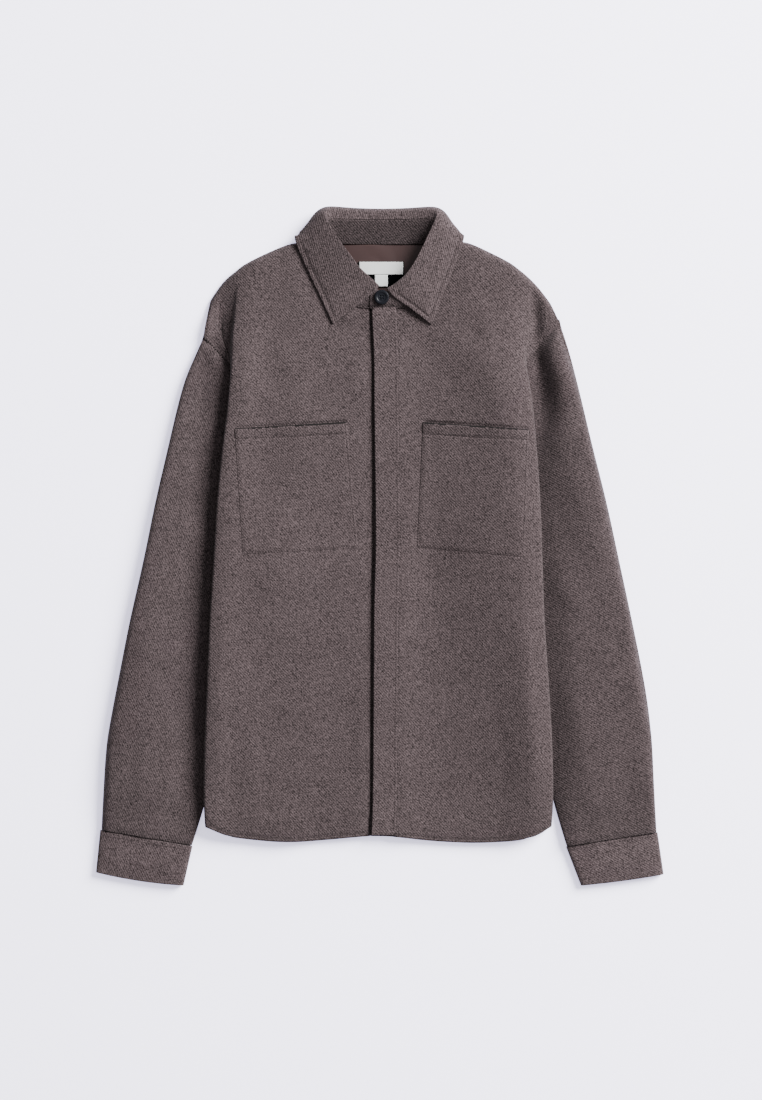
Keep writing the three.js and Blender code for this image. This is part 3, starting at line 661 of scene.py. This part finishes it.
def offset_line(line, by):
    """A line moved to the side that its bend encloses, with its corner kept sharp."""
    line = [Vector(p) for p in line]
    centre = sum(line, Vector((0, 0))) / len(line)
    moved = []
    for k, p in enumerate(line):
        normals = []
        for a, b in ((line[max(k - 1, 0)], p), (p, line[min(k + 1, len(line) - 1)])):
            if (b - a).length > 1e-6:
                side = Vector((a.y - b.y, b.x - a.x)).normalized()
                normals.append(-side if side.dot(centre - p) < 0 else side)
        shift = sum(normals, Vector((0, 0)))
        share = len(normals) / max(shift.length_squared, 0.5) if len(normals) > 1 else 1.0
        moved.append(tuple(p + shift * (by * share)))
    return moved


def stitch_row(bm, trees, line, rng, thickness):
    """Stitches of thread along a line, dropped on the surfaces."""
    form = bpy.context.scene.overshirt_form
    length, radius = form.stitch / MM, form.thread / MM / 2 * thickness
    spots = resampled(line, length + STITCH_GAP)
    for a, b in zip(spots[:-1], spots[1:]):
        end = a + (b - a) * length / (length + STITCH_GAP) + rng.uniform(-0.1, 0.1, 2)
        first, last = drop(trees, *a), drop(trees, *end)
        if first is None or last is None or abs(first.z - last.z) > STITCH_STEP * MM:
            continue
        axis = (last - first) / MM
        across = Vector((-axis.y, axis.x, 0)).normalized()
        up = axis.cross(across).normalized()
        rings = []
        for t, size, rise in ((0, 0.35, -0.2), (0.25, 1, 0.35), (0.75, 1, 0.35), (1, 0.35, -0.2)):
            centre = first / MM + axis * t + up * rise * radius * 2 * (1 if up.z > 0 else -1)
            ring = []
            for k in range(6):
                turn = k * math.pi / 3
                offset = (across * math.cos(turn) + up * math.sin(turn)) * radius * size
                ring.append(bm.verts.new((centre + offset) * MM))
            rings.append(ring)
        for low, high in zip(rings[:-1], rings[1:]):
            for k in range(6):
                bm.faces.new((low[k], low[(k + 1) % 6], high[(k + 1) % 6], high[k]))
        bm.faces.new(rings[0][::-1])
        bm.faces.new(rings[-1])


def stitching(name, trees, lines, material, thickness=1.0):
    """All the stitches of a piece as one object."""
    rng = np.random.default_rng(len(name))
    bm = bmesh.new()
    for line in lines:
        stitch_row(bm, trees, line, rng, thickness)
    bmesh.ops.recalc_face_normals(bm, faces=bm.faces)
    obj = built(name, bm)
    obj.data.materials.append(material)
    obj.data.shade_smooth()
    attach(obj, "root")
    return obj


# Materials


class Nodes:
    """Short way to add and join the nodes of a material."""

    def __init__(self, name):
        self.material = bpy.data.materials.new(name)
        self.material.use_nodes = True
        self.tree = self.material.node_tree
        self.shader = self.tree.nodes["Principled BSDF"]

    def add(self, kind, inputs=(), **settings):
        node = self.tree.nodes.new(kind)
        for key, value in settings.items():
            setattr(node, key, value)
        for key, value in dict(inputs).items():
            if isinstance(value, bpy.types.NodeSocket):
                self.tree.links.new(value, node.inputs[key])
            else:
                node.inputs[key].default_value = value
        return node

    def join(self, socket, name):
        self.tree.links.new(socket, self.shader.inputs[name])

    def set(self, **values):
        """Values of the shader's inputs, their names written with underscores."""
        for name, value in values.items():
            self.shader.inputs[name.replace("_", " ")].default_value = value

    def mix_colour(self, tone, dark, light):
        """Base colour between two tones."""
        mixed = self.add(
            "ShaderNodeMix", {"Factor": tone, "A": (*dark, 1), "B": (*light, 1)},
            data_type="RGBA", clamp_factor=True,
        )
        self.join(mixed.outputs["Result"], "Base Color")

    def bump(self, height, strength, distance):
        node = self.add("ShaderNodeBump", {"Height": height, "Strength": strength, "Distance": distance})
        self.join(node.outputs[0], "Normal")

    def sum(self, first, second, factor):
        """first + (second - 0.5) * factor"""
        moved = self.add(
            "ShaderNodeMath", {0: second, 1: factor, 2: -0.5 * factor}, operation="MULTIPLY_ADD",
        )
        return self.add("ShaderNodeMath", {0: first, 1: moved.outputs[0]}, operation="ADD").outputs[0]


def wool_material(name, turn=0.0, painted_light_factor=1.0):
    """Brushed melange twill, its lines turned with the piece, its colour scaled by painted_light_factor:
    painted light above 1, painted shade below.
    """
    cloth = bpy.context.scene.overshirt_cloth
    n = Nodes(name)
    place = n.add("ShaderNodeTexCoord").outputs["Object"]
    along = n.add("ShaderNodeMapping", {"Vector": place, "Rotation": (0, 0, turn)})
    slanted = n.add("ShaderNodeMapping", {"Vector": place, "Rotation": (0, 0, turn - TWILL_SLANT)})
    twill = n.add(
        "ShaderNodeTexWave",
        {
            "Vector": slanted.outputs[0], "Scale": WAVE_SCALE / cloth.twill_spacing, "Distortion": 1.4,
            "Detail": 2.0, "Detail Scale": 1.6, "Detail Roughness": 0.6,
        },
        wave_type="BANDS", bands_direction="X",
    )
    stretched = n.add("ShaderNodeMapping", {"Vector": slanted.outputs[0], "Scale": (1.0, 0.72, 1.0)})
    tone = n.sum(0.45, twill.outputs["Fac"], 0.22)
    for source, scale, detail, roughness, factor in (
        (stretched, 640.0, 2.0, 0.6, 1.9),  # yarns
        (along, 850.0, 3.0, 0.7, 1.75),  # flecks
        (along, 60.0, 4.0, 0.6, 0.22),  # mottle
    ):
        noise = n.add(
            "ShaderNodeTexNoise",
            {"Vector": source.outputs[0], "Scale": scale, "Detail": detail, "Roughness": roughness},
        )
        tone = n.sum(tone, noise.outputs["Fac"], factor)
    n.mix_colour(tone, [c * painted_light_factor for c in cloth.wool_dark], [c * painted_light_factor for c in cloth.wool_light])
    n.bump(n.sum(tone, twill.outputs["Fac"], 0.5), 0.55, 0.0005)
    n.set(Roughness=0.95, Specular_IOR_Level=0.05, Sheen_Weight=0.03, Sheen_Roughness=0.6)
    return n.material


def tape_material(name, colour, roughness, spacing=0.0006, strength=0.2, specular=0.15):
    """Woven tape or satin with fine level ribs."""
    n = Nodes(name)
    place = n.add("ShaderNodeTexCoord").outputs["Object"]
    ribs = n.add(
        "ShaderNodeTexWave", {"Vector": place, "Scale": WAVE_SCALE / spacing, "Distortion": 0.6},
        wave_type="BANDS", bands_direction="Y",
    )
    soft = n.add("ShaderNodeTexNoise", {"Vector": place, "Scale": 90.0, "Detail": 3.0})
    tone = n.sum(0.5, ribs.outputs["Fac"], 0.25)
    tone = n.sum(tone, soft.outputs["Fac"], 0.6)
    n.mix_colour(tone, [c * 0.86 for c in colour], [min(c * 1.14, 1) for c in colour])
    n.bump(tone, strength, 0.0002)
    n.set(Roughness=roughness, Specular_IOR_Level=specular)
    return n.material


def button_material(name):
    """Polished dark plastic with faint clouds."""
    n = Nodes(name)
    colour = bpy.context.scene.overshirt_cloth.button
    place = n.add("ShaderNodeTexCoord").outputs["Object"]
    cloud = n.add("ShaderNodeTexNoise", {"Vector": place, "Scale": 320.0, "Detail": 3.0})
    n.mix_colour(cloud.outputs["Fac"], colour, [c * 3.2 + 0.003 for c in colour])
    n.set(Roughness=0.4, Specular_IOR_Level=0.08)
    return n.material


def thread_and_shadow_material(name, factor):
    """Sewing thread, a tone off the wool; made near black, it also gives the painted shadows along the
    pocket mouths and the armhole seam.
    """
    cloth = bpy.context.scene.overshirt_cloth
    n = Nodes(name)
    colour = [(a + b) / 2 * factor for a, b in zip(cloth.wool_dark, cloth.wool_light)]
    n.set(Base_Color=(*colour, 1), Roughness=0.9, Specular_IOR_Level=0.1)
    return n.material


# Pieces


class OVERSHIRT_OT_body(Operator):
    """Add the back, the fronts and the front band"""

    bl_idname = "overshirt.body"
    bl_label = "Body"

    def execute(self, context):
        wool = wool_material("wool_body")
        thread = thread_and_shadow_material("thread_body", 0.75)
        back = smoothed("back_panel", "back", 1)
        draw_up(back, 350, 359, 6.0, 92)
        finished(back, "back_panel", wool)

        fronts = []
        for side, lift in (("right", front_right_lift), ("left", front_left_lift)):
            front = smoothed(f"front_{side}", FRONTS[side], 3)
            divide_near(front.data, POCKETS[f"pocket_{side}"][:2], 6.0)
            lift_points(front, lift, upper_ply)
            press_armhole(front, side)
            draw_up(front, 276, 283, 3.0, 44)
            fronts.append(front)
        # The band's wool is the fronts' cloth made lighter: painted light where the band faces the light
        # more.
        wool_band_painted_light = wool_material("wool_band_painted_light", 0.0, 1.1)
        band = smoothed("front_band", "band", 3)
        lift_points(band, body_lift)
        draw_up(band, 270, 281, 5.0, 44)

        heights = np.arange(278, -344, -6.0)
        inner = [(band_edge_at(y) + BAND_GAP + BAND_WIDTH - BAND_STITCH, y) for y in heights]
        sewn = stitching("band_stitches", surface(band, fronts[1]), [inner], thread)
        for front, side, name in zip(fronts, ("right", "left"), ("lower", "upper")):
            round_hem(front)
            row = hem_row(surface(front), *HEM_ENDS[side])
            press_row(front, row)
            hem = stitching(f"hem_{name}_stitches", surface(front), [row], thread)
            finished(front, f"front_{side}", wool)
        finished(band, "front_band", wool_band_painted_light)
        return {"FINISHED"}


class OVERSHIRT_OT_sleeves(Operator):
    """Add the sleeves and their cuffs"""

    bl_idname = "overshirt.sleeves"
    bl_label = "Sleeves"

    def execute(self, context):
        thread = thread_and_shadow_material("thread_sleeve", 0.7)
        for side, sign in (("right", -1), ("left", 1)):
            turn = -sign * math.radians(17)
            # The sleeves' wool is the body's cloth made a little darker: painted shade.
            wool = wool_material(f"wool_sleeve_painted_shade_{side}", turn, 0.93)
            sleeve = smoothed(f"sleeve_{side}", f"sleeve_{side}_cloth", 2)
            lift_points(sleeve, sleeve_lift, raised)
            divide_near(sleeve.data, ARMHOLES[side], 14.0)
            tuck_sleeve(sleeve, side)
            cuff = smoothed(f"cuff_{side}", f"cuff_{side}_cloth", 3)
            lift_points(cuff, self.cuff_lift, raised)
            row = [(sign * 334.5, -345.5), (sign * 226.5, -364.0)]
            sewn = stitching(f"cuff_{side}_stitches", surface(cuff), [row], thread)
            seams = []
            if side == "right":
                front = bpy.data.objects[FRONTS[side]]
                close_seam(front, sleeve, reach=4.0, where=self.at_shoulder)
                # Near-black, double-thick thread along the seam: real stitching coloured as a painted shadow
                # of the seam's crease.
                dark = thread_and_shadow_material("seam_painted_shadow", 0.12)
                seams = [stitching("armhole_seam", surface(sleeve, front), [SEAM_LINE], dark, thickness=2.0)]
            finished(sleeve, f"sleeve_{side}", wool)
            # The cuffs' wool is the same cloth made lighter: painted light.
            wool_cuff_painted_light = wool_material(f"wool_cuff_painted_light_{side}", turn, 1.15)
            finished(cuff, f"cuff_{side}", wool_cuff_painted_light)
        return {"FINISHED"}

    @staticmethod
    def at_shoulder(point):
        """Whether a point of the front lies at the outer end of the armhole seam on the viewer's left."""
        near = point[0] < -196 and 228 < point[1] < 264
        return near and past_armhole(point[None], "right")[0] < 5

    @staticmethod
    def cuff_lift(x, y):
        """The cuff swells in its middle and closes at its open end."""
        across = soft_step(np.abs(x), 228, 262) * soft_step(np.abs(x), 342, 312)
        return 1.6 * across * soft_step(y, -408, -375) + ripple_at(x, y, 9) * 0.35


class OVERSHIRT_OT_pockets(Operator):
    """Add the breast pockets"""

    bl_idname = "overshirt.pockets"
    bl_label = "Pockets"

    def execute(self, context):
        thread = thread_and_shadow_material("thread_pocket", 0.6)
        mouth_shadow = thread_and_shadow_material("pocket_mouth_painted_shadow", 0.08)
        for side, turn in (("right", math.radians(2)), ("left", math.radians(-2))):
            node = f"pocket_{side}"
            corners = np.array(POCKETS[node])
            under = surface(bpy.data.objects[FRONTS[side]])
            wool = wool_material(f"wool_{node}", turn)
            pocket = self.pocket(node, corners, under)
            sewn = stitching(f"{node}_stitches", surface(pocket), self.rows(corners), thread)
            finished(pocket, node, wool)
            pocket.data.materials.append(mouth_shadow)
            pocket.data.set_sharp_from_angle(angle=math.radians(48))
            # The upward wall of each mouth takes the near-black material: a painted shadow of the open
            # mouth.
            mouth = (min(corners[:2, 1]) - 0.4) * MM
            for face in pocket.data.polygons:
                if face.normal.y > 0.35 and face.center.y > mouth:
                    face.material_index = 1
        return {"FINISHED"}

    @staticmethod
    def at(corners, u, v):
        """Point of a pocket: u from the centre line outward, v from the mouth down."""
        top_in, top_out, low_in, low_out = corners
        return (1 - v) * ((1 - u) * top_in + u * top_out) + v * ((1 - u) * low_in + u * low_out)

    def rows(self, corners):
        """Lines of stitches: hem of the mouth, then the two sides and the bottom."""
        hem = [self.at(corners, u, 0.094 - 0.012 * u) for u in np.linspace(0.02, 0.97, 20)]
        sides = [[self.at(corners, u, v) for v in np.linspace(0.01, 0.985, 24)] for u in (0.018, 0.982)]
        bottom = [self.at(corners, u, 0.985) for u in np.linspace(0.02, 0.98, 20)]
        return [hem, *sides, bottom]

    def pocket(self, node, corners, under):
        """Wall of the pocket on its front: edges sewn down, the mouth a little open."""
        count = 92
        top = np.zeros((count, count, 3))
        low = np.zeros((count, count, 3))
        width = np.hypot(*(corners[1] - corners[0]))
        depth = np.hypot(*(corners[2] - corners[0]))
        even = np.linspace(0, 1, count)
        spread = 0.55 * even + 0.45 * (1 - np.cos(np.pi * even)) / 2
        for i, v in enumerate(spread):
            for j, u in enumerate(spread):
                x, y = self.at(corners, u, v)
                place = drop(under, x, y).z / MM
                edge = min(min(u, 1 - u) * width, (1 - v) * depth)
                rise = 0.25 + (0.75 + 0.5 * math.exp(-v * depth / 22)) * (1 - math.exp(-edge / 0.9))
                rise -= 0.35 * bell(edge - 2.6, 0.9)  # groove of the row along the edges
                hem = v * depth - 14.2 + 1.8 * u
                rise -= 0.85 * bell(hem, 1.0)  # groove of the row along the hem
                rise += 0.35 * bell(hem + 6, 5)
                mouth = math.exp(-v * depth / 16)
                gape = 1.5 * mouth * math.sin(math.pi * u) ** 0.6
                rise += gape + 0.3 * mouth
                rise -= 0.5 * math.exp(-v * depth / 0.8)
                top[i, j] = (x, y, place + rise)
                low[i, j] = (x, y, place + 0.1 + gape * 0.8)
        # The mouth's wall slants out so that its near-black painted shadow shows from above as a thin line.
        for j, u in enumerate(spread):
            x, y = self.at(corners, u, -MOUTH_LINE / depth)
            low[0, j] = (x, y, drop(under, x, y).z / MM + 0.15)  # the wall of the mouth slants out
        return grid_wall(f"{node}_cloth", top, low)


class OVERSHIRT_OT_collar(Operator):
    """Add the collar stand and the collar's leaves"""

    bl_idname = "overshirt.collar"
    bl_label = "Collar"

    def execute(self, context):
        # The leaves' wool is the body's cloth made a little lighter: painted light.
        wool = wool_material("wool_collar_painted_light", math.radians(28), 1.08)
        thread = thread_and_shadow_material("thread_collar", 0.7)
        stand = smoothed("collar_stand", "stand", 3)
        leaves = smoothed("collar_leaves", "leaves", 3)
        close_seam(stand, leaves, reach=2.4)
        lift_points(stand, self.under_button, lambda points: points[:, 2] > 12.6)
        rows = [offset_line(line, LEAF_STITCH) for line in LEAF_EDGES]
        self.settle(leaves)
        self.press(leaves, rows)
        sewn = stitching("leaf_stitches", surface(leaves), rows, thread)
        # The stand's wool is the same cloth made darker: painted shade inside the collar.
        finished(stand, "collar_stand", wool_material("wool_stand_painted_shade", 0.0, 0.82))
        finished(leaves, "collar_leaves", wool)
        return {"FINISHED"}

    @staticmethod
    def under_button(x, y):
        """The front end of the stand sinks where the fronts meet it."""
        return -2.0 * soft_step(y, 289.5, 284)

    @staticmethod
    def settle(leaves):
        """Lets the free edges of the leaves down towards the fronts."""
        with moving(leaves.data) as points:
            away = np.minimum(*[distance_from(points, line, 2.0) for line in LEAF_EDGES])
            points[:, 2] -= 0.7 * soft_step(away, 16, 0) * (points[:, 1] < 352)

    @staticmethod
    def press(leaves, rows):
        """Shallow groove where the leaves are stitched along their edges."""
        with moving(leaves.data) as points:
            normals = np.empty(len(points) * 3)
            leaves.data.vertices.foreach_get("normal", normals)
            up = normals.reshape(-1, 3)[:, 2] > 0.35
            for row, depth in zip(rows, (0.55, 1.0)):
                points[:, 2] -= np.where(up, depth * bell(distance_from(points, row), 1.25), 0)


class OVERSHIRT_OT_neck(Operator):
    """Add the yoke lining and the labels"""

    bl_idname = "overshirt.neck"
    bl_label = "Lining and Labels"

    def execute(self, context):
        cloth = context.scene.overshirt_cloth
        satin = tape_material("satin_lining", cloth.satin, 0.38, 0.0008, 0.1)
        white = tape_material("woven_white", cloth.label_white, 0.6)
        black = tape_material("woven_black", cloth.label_black, 0.9, specular=0.01)
        pieces = (
            ("yoke_lining", "lining", satin, "satin_lining", 0.5, 60),
            ("label_black", "label_backing", black, "label_black", 0.12, 20),
            ("label_white", "label_neck", white, "label_white", 0.15, 20),
            ("label_size_tab", "label_tab", white, "label_white", 0.1, 12),
        )
        for node, name, material, slot_name, wave, count in pieces:
            low, high = np.array(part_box(node)) / MM
            if node == "yoke_lining":
                high[1] += 1.6  # up under the collar stand
            across, down = np.linspace(low[0], high[0], count * 2), np.linspace(high[1], low[1], count)
            x, y = np.meshgrid(across, down)
            swell = ripple_at(x * 2.4, y * 2.4, 11) * wave
            top = np.stack((x, y, high[2] + np.clip(swell, -0.2, None)), axis=2)
            bottom = np.stack((x, y, np.full_like(x, low[2])), axis=2)
            finished(grid_wall(name, top, bottom), node, material)
        return {"FINISHED"}


class OVERSHIRT_OT_button(Operator):
    """Add the neck button"""

    bl_idname = "overshirt.button"
    bl_label = "Neck Button"

    def execute(self, context):
        low, high = np.array(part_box("neck_button")) / MM
        centre = (low + high) / 2
        radius = (high[1] - low[1]) / 2
        rings, steps = 40, 96
        bm = bmesh.new()

        def point(x, y, height):
            return bm.verts.new(((centre[0] + x) * MM, (centre[1] + y) * MM, (high[2] + height) * MM))

        def ring(size, rise):
            turns = [2 * math.pi * k / steps for k in range(steps)]
            spots = [(size * math.cos(turn), size * math.sin(turn)) for turn in turns]
            return [point(x, y, rise(x, y)) for x, y in spots]

        def face(x, y):
            return self.rise(x, y, radius)

        grid = [ring(radius * (i / rings) ** 0.9, face) for i in range(1, rings + 1)]
        grid.append(ring(radius, lambda x, y: -1.5))
        grid.append(ring(radius * 0.8, lambda x, y: -2.4))
        hub = point(0, 0, -0.75)
        base = point(0, 0, -2.4)
        for k in range(steps):
            following = (k + 1) % steps
            bm.faces.new((hub, grid[0][k], grid[0][following]))
            bm.faces.new((base, grid[-1][following], grid[-1][k]))
            for inner, outer in zip(grid[:-1], grid[1:]):
                bm.faces.new((inner[k], outer[k], outer[following], inner[following]))
        bmesh.ops.recalc_face_normals(bm, faces=bm.faces)
        polish = button_material("button_polish")
        finished(built("button", bm), "neck_button", polish)
        return {"FINISHED"}

    @staticmethod
    def rise(x, y, radius):
        """Height of the button's face below its rim: a dished middle with four holes."""
        r = math.hypot(x, y)
        height = -0.75 * (1 - float(soft_step(r, 4.6, 6.2)))
        height -= 0.9 * max(r / radius - 0.9, 0) / 0.1
        for k in range(4):
            turn = (k + 0.5) * math.pi / 2
            away = math.hypot(x - 2.0 * math.cos(turn), y - 2.0 * math.sin(turn))
            height -= 0.9 * (1 - float(soft_step(away, 0.65, 1.05)))
        return height


class OVERSHIRT_OT_stage(Operator):
    """Add the floor, the light and the camera"""

    bl_idname = "overshirt.stage"
    bl_label = "Stage"

    def execute(self, context):
        stage = context.scene.overshirt_stage
        half = BACKGROUND_SIZE / 2
        mesh = bpy.data.meshes.new("floor")
        corners = [(-half, -half), (half, -half), (half, half), (-half, half)]
        mesh.from_pydata([(x, y, -FLOOR_DROP) for x, y in corners], [], [(0, 1, 2, 3)])
        floor = new_object("floor", mesh)
        paper = Nodes("floor_paper")
        paper.set(Base_Color=(*stage.floor, 1), Roughness=0.9)
        paper.set(Emission_Color=(*stage.glow_colour, 1), Emission_Strength=stage.floor_glow)
        mesh.materials.append(paper.material)

        lamp = bpy.data.lights.new("key", "AREA")
        lamp.shape = "DISK"
        lamp.size = 2 * stage.key_distance * math.tan(stage.key_softness / 2)
        lamp.energy = stage.key * math.pi * stage.key_distance ** 2
        key = new_object("key", lamp)
        towards = Vector((
            math.cos(stage.key_height) * math.cos(stage.key_turn),
            math.cos(stage.key_height) * math.sin(stage.key_turn),
            math.sin(stage.key_height),
        ))
        key.location = towards * stage.key_distance
        key.rotation_euler = towards.to_track_quat("Z", "Y").to_euler()

        world = bpy.data.worlds.new("fill")
        world.use_nodes = True
        sky = world.node_tree.nodes["Background"].inputs
        sky["Color"].default_value = (*stage.fill_colour, 1)
        sky["Strength"].default_value = stage.fill
        context.scene.world = world

        lens = bpy.data.cameras.new("camera")
        lens.lens = lens.sensor_width * stage.distance / stage.picture_height
        camera = new_object("camera", lens)
        camera.location = (*PICTURE_CENTRE, stage.distance)
        context.scene.camera = camera
        return {"FINISHED"}


class OVERSHIRT_PT_panel(Panel):
    """Settings and pieces of the overshirt"""

    bl_idname = "OVERSHIRT_PT_panel"
    bl_label = "Overshirt"
    bl_space_type = "VIEW_3D"
    bl_region_type = "UI"
    bl_category = "Overshirt"

    def draw(self, context):
        scene = context.scene
        for settings in (scene.overshirt_cloth, scene.overshirt_form, scene.overshirt_stage):
            box = self.layout.box()
            for name in settings.bl_rna.properties.keys():
                if name not in {"rna_type", "name"}:
                    box.prop(settings, name)
        for operator in OPERATORS:
            self.layout.operator(operator.bl_idname)


OPERATORS = (
    OVERSHIRT_OT_body,
    OVERSHIRT_OT_sleeves,
    OVERSHIRT_OT_pockets,
    OVERSHIRT_OT_collar,
    OVERSHIRT_OT_neck,
    OVERSHIRT_OT_button,
    OVERSHIRT_OT_stage,
)
CLASSES = (ClothSettings, FormSettings, StageSettings, *OPERATORS, OVERSHIRT_PT_panel)


def register():
    for cls in CLASSES:
        bpy.utils.register_class(cls)
    bpy.types.Scene.overshirt_cloth = PointerProperty(type=ClothSettings)
    bpy.types.Scene.overshirt_form = PointerProperty(type=FormSettings)
    bpy.types.Scene.overshirt_stage = PointerProperty(type=StageSettings)


def unregister():
    del bpy.types.Scene.overshirt_cloth
    del bpy.types.Scene.overshirt_form
    del bpy.types.Scene.overshirt_stage
    for cls in reversed(CLASSES):
        bpy.utils.unregister_class(cls)


def main():
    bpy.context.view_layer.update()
    register()
    bpy.ops.overshirt.body()
    bpy.ops.overshirt.sleeves()
    bpy.ops.overshirt.pockets()
    bpy.ops.overshirt.collar()
    bpy.ops.overshirt.neck()
    bpy.ops.overshirt.button()
    bpy.ops.overshirt.stage()


if __name__ == "__main__":
    main()
